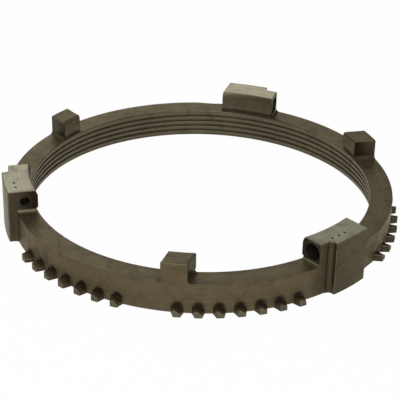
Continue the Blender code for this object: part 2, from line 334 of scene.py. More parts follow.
def cone_radius(height):
    """Radius of the inner cone at a height."""
    return INNER_RADIUS + (RING_HEIGHT - height) * math.tan(CONE_HALF_ANGLE)


def groove(height):
    """Points of one groove in the cone, from its lower edge to its upper edge."""
    low, high = height - GROOVE_WIDTH / 2, height + GROOVE_WIDTH / 2
    root_low, root_high = height - GROOVE_ROOT_WIDTH / 2, height + GROOVE_ROOT_WIDTH / 2
    root = cone_radius(height) + GROOVE_DEPTH
    return [(cone_radius(low), low), (root, root_low), (root, root_high), (cone_radius(high), high)]


def blank():
    """Turned blank of one third of the ring, as high as the tall lugs and as wide as their pads."""
    section = [
        (PAD_RADIUS, LUG_TOP),
        (PAD_RADIUS, 0.0),
        (cone_radius(0.0) + INNER_CHAMFER, 0.0),
        (cone_radius(INNER_CHAMFER), INNER_CHAMFER),
    ]
    for height in GROOVE_HEIGHTS:
        section += groove(height)
    section += [
        (INNER_RADIUS, RING_HEIGHT - INNER_CHAMFER),
        (INNER_RADIUS + INNER_CHAMFER, RING_HEIGHT),
        (INNER_RADIUS + UNDERCUT_DEPTH, RING_HEIGHT + INNER_CHAMFER),
        (INNER_RADIUS + UNDERCUT_DEPTH, RING_HEIGHT + UNDERCUT_HEIGHT - UNDERCUT_SLOPE),
        (INNER_RADIUS, RING_HEIGHT + UNDERCUT_HEIGHT),
        (INNER_RADIUS, LUG_TOP - LUG_INNER_CHAMFER_DROP),
        (INNER_RADIUS + LUG_INNER_CHAMFER, LUG_TOP),
    ]
    return turned_part("synchronizer_ring_machined", section, THIRD / 2 + SPARE_ANGLE, RING_STEP)


def lug_block(name, half, top):
    """Block across the wall on +X, as wide as a lug, with fillets at its foot."""
    toe = half + FOOT_FILLET
    low = RING_HEIGHT - OVERRUN
    right = arc((toe, RING_HEIGHT + FOOT_FILLET), FOOT_FILLET, -math.pi / 2, -math.pi, FILLET_STEPS)
    left = [(-y, z) for y, z in reversed(right)]
    outline = [(toe, low)] + right + [(half, top), (-half, top)] + left + [(-toe, low)]
    return prism(name, [(INNER_RADIUS / 2, y, z) for y, z in outline], (CLEAR_RADIUS, 0.0, 0.0))


def clearing():
    """Cutter that mills the blank down to the ring's top face everywhere but at the lugs."""
    section = [
        (CLEAR_RADIUS, LUG_TOP + OVERRUN),
        (CLEAR_RADIUS, RING_HEIGHT),
        (INNER_RADIUS - OVERRUN, RING_HEIGHT),
        (INNER_RADIUS - OVERRUN, LUG_TOP + OVERRUN),
    ]
    cutter = turned_part("clearing", section, THIRD / 2 + 2 * SPARE_ANGLE, 4 * RING_STEP)
    combine(cutter, lug_block("tall lug", HALF_LUG, LUG_TOP + 2 * OVERRUN), "DIFFERENCE")
    stop_lug = lug_block("stop lug", HALF_STOP_LUG, STOP_LUG_TOP)
    middle = Matrix.Translation((WALL_MIDDLE, 0.0, 0.0))
    skewed = middle @ Matrix.Rotation(-STOP_LUG_SKEW, 4, "Z") @ middle.inverted()
    stop_lug.data.transform(Matrix.Rotation(STOP_LUG_ANGLE, 4, "Z") @ skewed)
    combine(cutter, stop_lug, "DIFFERENCE")
    return cutter


def wall():
    """Cutter that takes the blank down to the ring's outer wall everywhere but at the pads."""
    section = [
        (CLEAR_RADIUS, LUG_TOP + OVERRUN),
        (CLEAR_RADIUS, -OVERRUN),
        (RING_RADIUS - BOTTOM_CHAMFER - OVERRUN, -OVERRUN),
        (RING_RADIUS, BOTTOM_CHAMFER),
        (RING_RADIUS, LUG_TOP + OVERRUN),
    ]
    cutter = turned_part("wall", section, THIRD / 2 + 2 * SPARE_ANGLE + RING_STEP / 2, RING_STEP)
    start = -PAD_START - SLOT_WIDTH / 2
    end = HALF_LUG + PAD_FILLET + OVERRUN
    plan = [(INNER_RADIUS, start), (2 * RING_RADIUS, start), (2 * RING_RADIUS, end), (INNER_RADIUS, end)]
    combine(cutter, plate("lug pad", plan, -2 * OVERRUN, LUG_TOP + 2 * OVERRUN), "DIFFERENCE")
    return cutter


def pad_slot():
    """Upright slot with a round bottom, cut before the pad."""
    radius = SLOT_WIDTH / 2
    middle = (RING_RADIUS - SLOT_DEPTH + radius, -PAD_START - radius)
    bottom = arc(middle, radius, 1.5 * math.pi, 0.5 * math.pi, 2 * FILLET_STEPS)
    plan = [(CLEAR_RADIUS, bottom[0][1])] + bottom + [(CLEAR_RADIUS, bottom[-1][1])]
    return plate("pad slot", plan, -OVERRUN, LUG_TOP + OVERRUN)


def wall_relief(fillet, low, high):
    """Cut that ends the pad and sets the wall behind it back, with or without a filleted corner."""
    side = HALF_LUG + fillet
    foot = math.sqrt(RELIEF_RADIUS ** 2 - side ** 2)
    corner = [(foot, side)]
    if fillet:
        corner = arc((foot + fillet, side), fillet, 1.5 * math.pi, math.pi, FILLET_STEPS)
    start = math.asin(side / RELIEF_RADIUS)
    end = math.asin(HALF_LUG / RELIEF_RADIUS) + RELIEF_LENGTH / RELIEF_RADIUS
    floor = arc((0.0, 0.0), RELIEF_RADIUS, start, end, round((end - start) / RING_STEP))[1:]
    past = end + 2 * RELIEF_RAMP / RELIEF_RADIUS
    ramp_top = 2 * RING_RADIUS - RELIEF_RADIUS
    beyond = [(radius * math.cos(past), radius * math.sin(past)) for radius in (ramp_top, CLEAR_RADIUS)]
    return plate("relief", corner + floor + beyond + [(CLEAR_RADIUS, HALF_LUG)], low, high)


def stepped_bore():
    """Bore along the tall lug, wide at its clockwise end, with a drill point down to a pin hole."""
    mouth = -HALF_LUG - OVERRUN
    far_end = HALF_LUG + OVERRUN
    bottom = BORE_DEPTH - HALF_LUG
    point = bottom + (BORE_RADIUS - PIN_HOLE_RADIUS) / math.tan(DRILL_POINT_ANGLE / 2)
    pin_hole = [(0.0, far_end), (PIN_HOLE_RADIUS, far_end), (PIN_HOLE_RADIUS, point)]
    section = pin_hole + [(BORE_RADIUS, bottom), (BORE_RADIUS, mouth), (0.0, mouth)]
    bore = turned_solid("stepped bore", section, ROUND_STEPS)
    place = Matrix.Translation((BORE_AXIS_RADIUS, 0.0, BORE_AXIS_HEIGHT))
    bore.data.transform(place @ Matrix.Rotation(-math.pi / 2, 4, "X"))
    return bore


def tooth_angles():
    """Places of one lug's teeth, seen from the lug's middle."""
    return [start + TOOTH_PITCH * i for start in TOOTH_GROUPS for i in range(TEETH_PER_GROUP)]


def tooth():
    """Tooth on +X: the outline of its tip, with its point near one side, extruded inwards and widened."""
    half = TIP_HALF_WIDTH
    foot = [(-half, TOOTH_BOTTOM), (half, TOOTH_BOTTOM)]
    top = [(half, TOOTH_LOW_SIDE), (-TOOTH_POINT_OFFSET, TOOTH_POINT), (-half, TOOTH_HIGH_SIDE)]
    item = drawn("tooth", [(TIP_RADIUS, y, z) for y, z in foot + top])
    length = TIP_RADIUS - ROOT_RADIUS
    widening = 1.0 + length * math.tan(TOOTH_FLANK_ANGLE) / half
    bpy.ops.object.mode_set(mode="EDIT")
    bpy.ops.mesh.extrude_region_move(TRANSFORM_OT_translate={"value": (-length, 0.0, 0.0)})
    bpy.ops.transform.resize(value=(1.0, widening, 1.0), center_override=(ROOT_RADIUS, 0.0, 0.0))
    bpy.ops.object.mode_set(mode="OBJECT")
    return facing_out(item)


def pocket():
    """Dished pocket in the wall on +X, with a cutter that is longer than the pocket is deep."""
    length = POCKET_DEPTH * POCKET_OVERCUT
    bpy.ops.object.select_all(action="DESELECT")
    bpy.ops.mesh.primitive_cone_add(
        vertices=ROUND_STEPS,
        radius1=POCKET_FLOOR_RADIUS,
        radius2=POCKET_FLOOR_RADIUS + (POCKET_RADIUS - POCKET_FLOOR_RADIUS) * POCKET_OVERCUT,
        depth=length,
        location=(RING_RADIUS - POCKET_DEPTH + length / 2, 0.0, POCKET_MIDDLE),
        rotation=(0.0, math.pi / 2, 0.0),
    )
    bpy.ops.object.transform_apply(location=True, rotation=True, scale=True)
    return bpy.context.object


def punch_dot():
    """Cone that marks one dot, with its point PUNCH_DEPTH under the lug's top, on the ring's axis."""
    bpy.ops.object.select_all(action="DESELECT")
    bpy.ops.mesh.primitive_cone_add(
        vertices=PUNCH_SIDES,
        radius1=0.0,
        radius2=2 * PUNCH_RADIUS,
        depth=2 * PUNCH_DEPTH,
        location=(0.0, 0.0, LUG_TOP),
    )
    bpy.ops.object.transform_apply(location=True, rotation=True, scale=True)
    return bpy.context.object


def copied_to(item, places):
    """Replace a piece by joined copies of it, one moved by each of these matrices."""
    pieces = []
    for place in places:
        copy = item.copy()
        copy.data = item.data.copy()
        copy.data.transform(place)
        bpy.context.collection.objects.link(copy)
        pieces.append(copy)
    name = item.name
    bpy.data.objects.remove(item, do_unlink=True)
    bpy.ops.object.select_all(action="DESELECT")
    for piece in pieces:
        piece.select_set(True)
    bpy.context.view_layer.objects.active = pieces[0]
    bpy.ops.object.join()
    joined = bpy.context.object
    joined.name = name
    return joined


def spread_round(item, angles):
    """Replace a piece by joined copies of it, turned round the ring's axis."""
    return copied_to(item, [Matrix.Rotation(angle, 4, "Z") for angle in angles])


def punch_dots():
    """All the dots that the punch leaves on the tall lugs' tops."""
    places = [Matrix.Rotation(angle, 4, "Z") @ Matrix.Translation((x, y, 0.0)) for angle, x, y in PUNCH_DOTS]
    return copied_to(punch_dot(), places)


def trimmed_to_third(item):
    """Cut away what lies beyond the third of the ring round +X, and leave it open there."""
    bpy.context.view_layer.objects.active = item
    for side in (-1, 1):
        angle = side * THIRD / 2
        bpy.ops.object.mode_set(mode="EDIT")
        bpy.ops.mesh.select_all(action="SELECT")
        bpy.ops.mesh.bisect(
            plane_co=(0.0, 0.0, 0.0),
            plane_no=(-side * math.sin(angle), side * math.cos(angle), 0.0),
            clear_outer=True,
            threshold=SEAM_GAP,
        )
        bpy.ops.object.mode_set(mode="OBJECT")
    in_order(item)


def tidied(item):
    """Close the seams, melt slivers into their neighbours and make each flat face one face."""
    bpy.context.view_layer.objects.active = item
    bpy.ops.object.mode_set(mode="EDIT")
    bpy.ops.mesh.select_all(action="SELECT")
    bpy.ops.mesh.remove_doubles(threshold=SLIVER)
    bpy.ops.mesh.dissolve_degenerate(threshold=SLIVER)
    bpy.ops.mesh.dissolve_limited(angle_limit=FLAT_ANGLE)
    bpy.ops.object.mode_set(mode="OBJECT")
    in_order(item)


def rounded(item, width, segments, wanted):
    """Round the sharp edges that a test picks."""
    bpy.context.view_layer.objects.active = item
    bpy.ops.object.mode_set(mode="EDIT")
    bpy.ops.mesh.select_mode(type="EDGE")
    bpy.ops.mesh.select_all(action="DESELECT")
    mesh = bmesh.from_edit_mesh(item.data)
    for edge in mesh.edges:
        sharp = len(edge.link_faces) == 2 and edge.calc_face_angle() > SHARP_ANGLE
        edge.select_set(sharp and wanted(edge))
    bmesh.update_edit_mesh(item.data)
    bpy.ops.mesh.bevel(
        offset=width, segments=segments, affect="EDGES", clamp_overlap=False, material=EDGE_SLOT
    )
    bpy.ops.object.mode_set(mode="OBJECT")
    in_order(item)


def on_stop_lug_top(edge):
    """Whether an edge borders a stop lug's top face."""
    return all(abs(vertex.co.z - STOP_LUG_TOP) < SLIVER for vertex in edge.verts)


def on_tall_lug(edge):
    """Whether an edge borders a tall lug's top face or runs up its pad."""
    on_top = all(abs(vertex.co.z - LUG_TOP) < SLIVER for vertex in edge.verts)
    on_pad = all(math.hypot(vertex.co.x, vertex.co.y) > PAD_RADIUS - SLIVER for vertex in edge.verts)
    return on_top or (on_pad and abs(edge.verts[0].co.z - edge.verts[1].co.z) > RING_HEIGHT)


def ring():
    """Model the whole ring, with rounded edges."""
    item = blank()
    combine(item, wall(), "DIFFERENCE")
    combine(item, clearing(), "DIFFERENCE")
    combine(item, wall_relief(0.0, RING_HEIGHT, LUG_TOP + OVERRUN), "DIFFERENCE")
    combine(item, wall_relief(PAD_FILLET, -OVERRUN, RING_HEIGHT), "DIFFERENCE")
    combine(item, pad_slot(), "DIFFERENCE")
    combine(item, stepped_bore(), "DIFFERENCE")
    combine(item, spread_round(pocket(), tooth_angles()), "DIFFERENCE")
    combine(item, spread_round(tooth(), tooth_angles()), "UNION", "MANIFOLD")
    trimmed_to_third(item)
    item = spread_round(item, LUG_ANGLES)
    tidied(item)
    combine(item, punch_dots(), "DIFFERENCE")
    return item


def new_group(name, inputs, outputs):
    """Start a shader node group with these inputs, as (kind, name, value), and outputs."""
    group = bpy.data.node_groups.new(name, "ShaderNodeTree")
    for kind, label, value in inputs:
        socket = group.interface.new_socket(label, in_out="INPUT", socket_type=kind)
        socket.default_value = value
    for kind, label in outputs:
        group.interface.new_socket(label, in_out="OUTPUT", socket_type=kind)
    return group


def add(tree, kind, **settings):
    """Add a node to a tree and set its properties."""
    node = tree.nodes.new(kind)
    for key, value in settings.items():
        setattr(node, key, value)
    return node


def feed(tree, socket, value):
    """Link another node's output to a socket, or set the socket to a value."""
    if isinstance(value, bpy.types.NodeSocket):
        tree.links.new(value, socket)
    else:
        socket.default_value = value


def maths(tree, operation, *values):
    """Add a Math node and give back its result."""
    node = add(tree, "ShaderNodeMath", operation=operation)
    for socket, value in zip(node.inputs, values):
        feed(tree, socket, value)
    return node.outputs[0]


def noise(tree, vector, scale, detail, roughness=0.5, distortion=0.0, across=None):
    """Add a Noise Texture, with a fourth coordinate where one is given, and give back its value."""
    node = add(tree, "ShaderNodeTexNoise", noise_dimensions="3D" if across is None else "4D")
    feed(tree, node.inputs["Vector"], vector)
    if across is not None:
        feed(tree, node.inputs["W"], across)
    node.inputs["Scale"].default_value = scale
    node.inputs["Detail"].default_value = detail
    node.inputs["Roughness"].default_value = roughness
    node.inputs["Distortion"].default_value = distortion
    return node.outputs["Fac"]


def mixed(tree, factor, one, other):
    """Mix two colours and give back the result."""
    node = add(tree, "ShaderNodeMix", data_type="RGBA")
    feed(tree, node.inputs["Factor"], factor)
    feed(tree, node.inputs[6], one)
    feed(tree, node.inputs[7], other)
    return node.outputs[2]


def stretched(tree, value, low, high):
    """Map a range of values to 0 to 1, and clamp the rest."""
    node = add(tree, "ShaderNodeMapRange")
    feed(tree, node.inputs["Value"], value)
    node.inputs["From Min"].default_value = low
    node.inputs["From Max"].default_value = high
    return node.outputs["Result"]


def swing(tree, value, share):
    """Centre a value of 0 to 1 on zero and take a share of it."""
    return maths(tree, "MULTIPLY", maths(tree, "SUBTRACT", value, 0.5), share)


def distance(tree, one, other):
    """Length of a vector that has these two coordinates."""
    squares = [maths(tree, "MULTIPLY", value, value) for value in (one, other)]
    return maths(tree, "SQRT", maths(tree, "ADD", *squares))


def from_nearest(tree, value, period):
    """How far a value lies from the nearest whole number of periods, with its sign."""
    moved = maths(tree, "ADD", value, period / 2)
    return maths(tree, "SUBTRACT", maths(tree, "FLOORED_MODULO", moved, period), period / 2)


def object_place(tree):
    """The shaded point in the ring's own frame, whole and as its three coordinates."""
    place = add(tree, "ShaderNodeTexCoord").outputs["Object"]
    parts = add(tree, "ShaderNodeSeparateXYZ")
    feed(tree, parts.inputs[0], place)
    return place, parts.outputs


def turning_marks():
    """Node group: fine lines that run round the ring's axis, as turning and face milling leave them."""
    group = new_group(
        "turning marks",
        [("NodeSocketFloat", "Marks per Metre", 900.0), ("NodeSocketFloat", "Length per Metre", 14.0)],
        [("NodeSocketFloat", "Marks")],
    )
    start = add(group, "NodeGroupInput")
    end = add(group, "NodeGroupOutput")
    x, y, z = object_place(group)[1]
    per_metre = start.outputs["Marks per Metre"]
    along = start.outputs["Length per Metre"]
    vector = add(group, "ShaderNodeCombineXYZ")
    for socket, value, fineness in zip(vector.inputs, (x, y, z), (along, along, per_metre)):
        feed(group, socket, maths(group, "MULTIPLY", value, fineness))
    across = maths(group, "MULTIPLY", distance(group, x, y), per_metre)
    marks = noise(group, vector.outputs[0], scale=1.0, detail=3.0, roughness=0.6, across=across)
    feed(group, end.inputs["Marks"], stretched(group, marks, *LINE_CONTRAST))
    return group


def machining_lines(tree, marks_group, marks_per_metre, length_per_metre):
    """Add the turning marks at one fineness and give back their value."""
    node = add(tree, "ShaderNodeGroup", node_tree=marks_group)
    node.inputs["Marks per Metre"].default_value = marks_per_metre
    node.inputs["Length per Metre"].default_value = length_per_metre
    return node.outputs["Marks"]


def round_teeth(tree, radii, on_third, height):
    """Mask of the painted shade round the pocket of every tooth, between an inner and an outer radius."""
    mask = 0.0
    for first in TOOTH_GROUPS:
        middle = (first + TOOTH_PITCH * (TEETH_PER_GROUP - 1) / 2) % THIRD
        from_middle = maths(tree, "SUBTRACT", on_third, middle)
        half_group = TOOTH_PITCH * TEETH_PER_GROUP / 2
        inside = maths(tree, "LESS_THAN", maths(tree, "ABSOLUTE", from_middle), half_group)
        aside = maths(tree, "MULTIPLY", from_nearest(tree, from_middle, TOOTH_PITCH), RING_RADIUS)
        above = maths(tree, "SUBTRACT", height, POCKET_MIDDLE)
        around = add(tree, "ShaderNodeMapRange", interpolation_type="SMOOTHSTEP")
        feed(tree, around.inputs["Value"], distance(tree, aside, above))
        feed(tree, around.inputs["From Min"], radii["Outer Radius"])
        feed(tree, around.inputs["From Max"], radii["Inner Radius"])
        mask = maths(tree, "ADD", mask, maths(tree, "MULTIPLY", inside, around.outputs["Result"]))
    return mask


def shaded_places():
    """Node group: masks of the painted shade at the teeth, grooves and slots and on the lugs' ends."""
    radii = (("Inner Radius", POCKET_SHADE_CORE), ("Outer Radius", POCKET_SHADE_REACH))
    group = new_group(
        "shaded places",
        [("NodeSocketFloat", label, value) for label, value in radii],
        [("NodeSocketFloat", label) for label in ("Teeth", "Roots", "Grooves", "Slots", "Lug Ends")],
    )
    start = add(group, "NodeGroupInput")
    masks = add(group, "NodeGroupOutput").inputs
    x, y, z = object_place(group)[1]
    turn = maths(group, "SUBTRACT", maths(group, "ARCTAN2", y, x), LUG_ANGLES[0])
    on_third = maths(group, "FLOORED_MODULO", turn, THIRD)
    feed(group, masks["Teeth"], round_teeth(group, start.outputs, on_third, z))

    # Painted shade on the wall strip beside each pad slot
    from_lug = from_nearest(group, turn, THIRD)
    before_lug = maths(group, "LESS_THAN", from_lug, 0.0)
    near_slot = stretched(group, from_lug, *SLOT_SHADE)
    feed(group, masks["Slots"], maths(group, "MULTIPLY", near_slot, before_lug))

    radius = distance(group, x, y)
    # Painted shade on the tooth roofs, darker towards the wall
    feed(group, masks["Roots"], stretched(group, radius, *ROOT_SHADE))
    # Painted shade on side faces, darker towards the ring's inner edge
    feed(group, masks["Lug Ends"], stretched(group, radius, *LUG_END_SHADE))

    # Painted shade on the cone's lands, darker towards each groove
    pitch = GROOVE_HEIGHTS[1] - GROOVE_HEIGHTS[0]
    above = maths(group, "SUBTRACT", z, GROOVE_HEIGHTS[0])
    wave = maths(group, "COSINE", maths(group, "MULTIPLY", above, 2 * math.pi / pitch))
    feed(group, masks["Grooves"], maths(group, "ADD", maths(group, "MULTIPLY", wave, 0.5), 0.5))
    return group


def machined_steel(marks_group):
    """Node group: steel with machining lines, clouds of oily film, stains and fine grain."""
    group = new_group(
        "machined steel",
        [
            ("NodeSocketColor", "Dark", (0.05, 0.04, 0.03, 1.0)),
            ("NodeSocketColor", "Light", (0.12, 0.1, 0.07, 1.0)),
            ("NodeSocketColor", "Stain", (0.03, 0.02, 0.01, 1.0)),
            ("NodeSocketFloat", "Marks", 0.3),
            ("NodeSocketFloat", "Clouds", 0.5),
            ("NodeSocketFloat", "Stains", 0.3),
            ("NodeSocketFloat", "Roughness", 0.45),
            ("NodeSocketFloat", "Depth", 1.0),
        ],
        [("NodeSocketColor", "Colour"), ("NodeSocketFloat", "Roughness"), ("NodeSocketVector", "Normal")],
    )
    given = add(group, "NodeGroupInput").outputs
    end = add(group, "NodeGroupOutput")
    place = object_place(group)[0]
    coarse = machining_lines(group, marks_group, *COARSE_LINES)
    fine = machining_lines(group, marks_group, *FINE_LINES)
    clouds = noise(group, place, scale=42.0, detail=5.0, roughness=0.6, distortion=0.4)
    patches = noise(group, place, scale=150.0, detail=6.0, roughness=0.65, distortion=0.6)
    grain = noise(group, place, scale=1300.0, detail=3.0, roughness=0.7)

    lined = swing(group, coarse, given["Marks"])
    drift = swing(group, clouds, given["Clouds"])
    speckled = maths(group, "ADD", 0.5, swing(group, grain, SPECKLE))
    tone = maths(group, "ADD", speckled, maths(group, "ADD", lined, drift))
    colour = mixed(group, stretched(group, tone, 0.0, 1.0), given["Dark"], given["Light"])
    stained = maths(group, "MULTIPLY", stretched(group, patches, *STAIN_EDGE), given["Stains"])
    feed(group, end.inputs["Colour"], mixed(group, stained, colour, given["Stain"]))

    uneven = maths(group, "ADD", swing(group, patches, DULLING), swing(group, fine, BRUSHING))
    feed(group, end.inputs["Roughness"], maths(group, "ADD", given["Roughness"], uneven))

    height = maths(group, "ADD", fine, maths(group, "MULTIPLY", grain, GRAIN_HEIGHT))
    bump = add(group, "ShaderNodeBump")
    bump.inputs["Distance"].default_value = BUMP_DISTANCE
    feed(group, bump.inputs["Height"], maths(group, "MULTIPLY", height, given["Depth"]))
    feed(group, end.inputs["Normal"], bump.outputs["Normal"])
    return group


def steel_finish(name, group, metallic, shaded=None, **values):
    """Material of one machined finish of the steel, with painted shade mixed in where a group's mask says
    so.
    """
    material = bpy.data.materials.new(name)
    material.use_nodes = True
    tree = material.node_tree
    shader = tree.nodes["Principled BSDF"]
    surface = add(tree, "ShaderNodeGroup", node_tree=group)
    for label, value in values.items():
        is_colour = isinstance(value, tuple)
        surface.inputs[label.title()].default_value = (*value, 1.0) if is_colour else value
    colour = surface.outputs["Colour"]
    if shaded:
        # Painted shade: each mask darkens the colour towards a near-black brown by its share
        places = add(tree, "ShaderNodeGroup", node_tree=shaded[0])
        for mask, share in shaded[1:]:
            shade_amount = maths(tree, "MULTIPLY", places.outputs[mask], share)
            colour = mixed(tree, shade_amount, colour, (*PAINTED_SHADE_COLOUR, 1.0))
    feed(tree, shader.inputs["Base Color"], colour)
    feed(tree, shader.inputs["Roughness"], surface.outputs["Roughness"])
    feed(tree, shader.inputs["Normal"], surface.outputs["Normal"])
    shader.inputs["Metallic"].default_value = metallic
    shader.inputs["Specular Tint"].default_value = SPECULAR_TINT
    return material


def steel_finishes():
    """The ring's finishes: how dark, how marked and how glossy each machined surface is."""
    group = machined_steel(turning_marks())
    places = shaded_places()
    grime = WALL_GRIME
    return {
        # Turned wall: painted shade round the teeth's pockets and beside the pad slots, by the Teeth and
        # Slots masks
        "turned wall": steel_finish(
            "turned_wall", group, 0.85, shaded=(places, ("Teeth", 0.82), ("Slots", 0.45)),
            dark=(0.07, 0.053, 0.027), light=(0.153, 0.122, 0.069), stain=grime,
            marks=0.4, clouds=0.7, stains=0.3, roughness=0.46, depth=1.0,
        ),
        "milled face": steel_finish(
            "milled_face", group, 0.85,
            dark=(0.067, 0.054, 0.0305), light=(0.153, 0.128, 0.074), stain=grime,
            marks=0.5, clouds=0.7, stains=0.3, roughness=0.5, depth=0.8,
        ),
        "ground top": steel_finish(
            "ground_top", group, 0.9,
            dark=(0.145, 0.137, 0.097), light=(0.32, 0.303, 0.224), stain=(0.08, 0.071, 0.05),
            marks=0.35, clouds=0.8, stains=0.35, roughness=0.36, depth=0.7,
        ),
        # Painted highlight: a lighter copy of the ground top for the back lug, whose top shines with the
        # back lights
        "ground top painted highlight": steel_finish(
            "ground_top_painted_highlight", group, 0.9,
            dark=(0.2, 0.184, 0.131), light=(0.46, 0.43, 0.315), stain=(0.11, 0.098, 0.07),
            marks=0.5, clouds=0.7, stains=0.4, roughness=0.36, depth=0.7,
        ),
        "ground pad": steel_finish(
            "ground_pad", group, 0.9,
            dark=(0.053, 0.042, 0.0245), light=(0.103, 0.083, 0.051), stain=grime,
            marks=0.35, clouds=1.1, stains=0.4, roughness=0.36, depth=0.8,
        ),
        # Milled sides: painted shade towards the inner edge, by the Lug Ends mask
        "milled side": steel_finish(
            "milled_side", group, 0.85, shaded=(places, ("Lug Ends", 0.72)),
            dark=(0.038, 0.03, 0.017), light=(0.095, 0.076, 0.044), stain=grime,
            marks=0.3, clouds=0.8, stains=0.35, roughness=0.45, depth=1.2,
        ),
        # Cone lands: painted shade towards the grooves, by the Grooves mask
        "cone": steel_finish(
            "cone_lands", group, 0.9, shaded=(places, ("Grooves", 0.3)),
            dark=(0.082, 0.069, 0.042), light=(0.187, 0.162, 0.106), stain=grime,
            marks=0.3, clouds=0.6, stains=0.3, roughness=0.4, depth=1.0,
        ),
        "inner face": steel_finish(
            "lug_inner_face", group, 0.9,
            dark=(0.052, 0.042, 0.025), light=(0.124, 0.102, 0.063), stain=grime,
            marks=0.45, clouds=0.8, stains=0.35, roughness=0.42, depth=1.0,
        ),
        # Painted shade: a dark copy of the steel for the fillets at the stop lugs' feet
        "stop lug foot": steel_finish(
            "stop_lug_foot_painted_shade", group, 0.8,
            dark=(0.03, 0.023, 0.013), light=(0.075, 0.06, 0.034), stain=grime,
            marks=0.3, clouds=0.8, stains=0.4, roughness=0.55, depth=1.2,
        ),
        # Tooth roofs: painted shade, darker towards their roots, by the Roots mask
        "tooth roof": steel_finish(
            "tooth_roof", group, 0.8, shaded=(places, ("Roots", 0.7)),
            dark=(0.042, 0.032, 0.018), light=(0.15, 0.121, 0.075), stain=(0.03, 0.018, 0.009),
            marks=0.2, clouds=1.3, stains=0.6, roughness=0.5, depth=1.2,
        ),
        "tooth tip": steel_finish(
            "tooth_tip", group, 0.9,
            dark=(0.0765, 0.0645, 0.04), light=(0.171, 0.148, 0.096), stain=grime,
            marks=0.3, clouds=0.7, stains=0.3, roughness=0.4, depth=1.0,
        ),
        # Painted shade: a darker copy of the cone's steel for the grooves
        "groove": steel_finish(
            "groove_painted_shade", group, 0.7,
            dark=(0.044, 0.0355, 0.0215), light=(0.11, 0.089, 0.056), stain=(0.014, 0.011, 0.007),
            marks=0.3, clouds=0.6, stains=0.3, roughness=0.55, depth=1.5,
        ),
        # Painted shade: a near-black copy of the steel for the undercut, the punch dots and rounded inner
        # corners
        "hollow": steel_finish(
            "hollow_painted_shade", group, 0.6,
            dark=(0.018, 0.012, 0.0065), light=(0.055, 0.04, 0.022), stain=(0.01, 0.0065, 0.0035),
            marks=0.2, clouds=0.9, stains=0.5, roughness=0.6, depth=1.5,
        ),
        # Painted shade: a near-black copy of the steel inside the bores
        "bore": steel_finish(
            "bore_painted_shade", group, 0.6,
            dark=(0.012, 0.01, 0.007), light=(0.035, 0.03, 0.02), stain=(0.008, 0.006, 0.004),
            marks=0.4, clouds=0.6, stains=0.5, roughness=0.5, depth=1.5,
        ),
        "worn edge": steel_finish(
            "worn_edge", group, 0.95,
            dark=(0.09, 0.077, 0.05), light=(0.22, 0.195, 0.135), stain=grime,
            marks=0.3, clouds=0.9, stains=0.4, roughness=0.38, depth=0.6,
        ),
    }


def lug_frame(middle):
    """A point as seen from the nearest tall lug, turned to +X."""
    angle = math.atan2(middle.y, middle.x)
    own = min(LUG_ANGLES, key=lambda lug: abs(math.remainder(lug - angle, 2 * math.pi)))
    return Matrix.Rotation(-own, 3, "Z") @ middle


def cone_finish(middle, radius, outward):
    """Finish of a face on the inner cone: its lands, its grooves, or none where it lies elsewhere."""
    if radius > CONE_ZONE or middle.z > RING_HEIGHT:
        return None
    if abs(outward) > CONE_SHARE:
        return "groove" if radius > cone_radius(middle.z) + GROOVE_DEPTH / 2 else "cone"
    in_groove = middle.z > SLIVER and radius > cone_radius(middle.z)
    return "groove" if in_groove else None


def top_finish(middle, normal):
    """Finish of a face that looks up: a lug's ground top, a punch dot, a milled top, or none."""
    if normal.z > STRAIGHT_ON and middle.z > LUG_TOP - EDGE_ROUNDING:
        # The back lug's top gets the lighter copy, a painted highlight
        on_back_lug = abs(middle.x) < HALF_LUG + FOOT_FILLET and middle.y > 0.0
        return "ground top painted highlight" if on_back_lug else "ground top"
    if DOT_SHARE < normal.z < STRAIGHT_ON and middle.z > LUG_TOP - PUNCH_DEPTH:
        return "hollow"
    if normal.z > STRAIGHT_ON and middle.z > RING_HEIGHT - EDGE_ROUNDING:
        return "milled face"
    return None


def finish_of(face):
    """Which finish a face has, by its place and by where it looks."""
    middle = face.calc_center_median()
    normal = face.normal
    radius = math.hypot(middle.x, middle.y)
    outward = (middle.x * normal.x + middle.y * normal.y) / radius
    near = lug_frame(middle)
    from_bore = math.hypot(near.x - BORE_AXIS_RADIUS, near.z - BORE_AXIS_HEIGHT)
    if from_bore < BORE_RADIUS + EDGE_ROUNDING and abs(near.y) < HALF_LUG - EDGE_ROUNDING:
        return "bore"
    known = top_finish(middle, normal) or cone_finish(middle, radius, outward)
    if known:
        return known
    if outward > STRAIGHT_ON and radius > PAD_RADIUS - PAD_MARGIN and -PAD_START < near.y < HALF_LUG:
        return "ground pad"
    if radius > RING_RADIUS and middle.z < TOOTH_POINT + SLIVER:
        if outward > STRAIGHT_ON:
            return "tooth tip"
        if normal.z > ROOF_SHARE:
            return "tooth roof"
    in_pocket = middle.z < POCKET_MIDDLE + POCKET_RADIUS and radius < RING_RADIUS
    if in_pocket and outward > POCKET_SHARE and normal.z > -STRAIGHT_ON:
        if abs(near.y) > HALF_LUG + RELIEF_LENGTH or near.y < -PAD_START - SLOT_WIDTH:
            return "turned wall"
    on_foot = RING_HEIGHT < middle.z < RING_HEIGHT + FOOT_FILLET
    # Fillets at the stop lugs' feet get painted shade; those at the tall lugs' feet get the pad's finish
    if on_foot and FILLET_SHARE < normal.z < STRAIGHT_ON:
        return "stop lug foot" if abs(near.y) > HALF_LUG + 2 * FOOT_FILLET else "ground pad"
    # The undercut below each lug's inner face gets the painted shade of the hollow finish
    if outward < -STRAIGHT_ON and middle.z > RING_HEIGHT:
        return "inner face" if middle.z > RING_HEIGHT + UNDERCUT_HEIGHT else "hollow"
    return "turned wall" if outward > STRAIGHT_ON else "milled side"


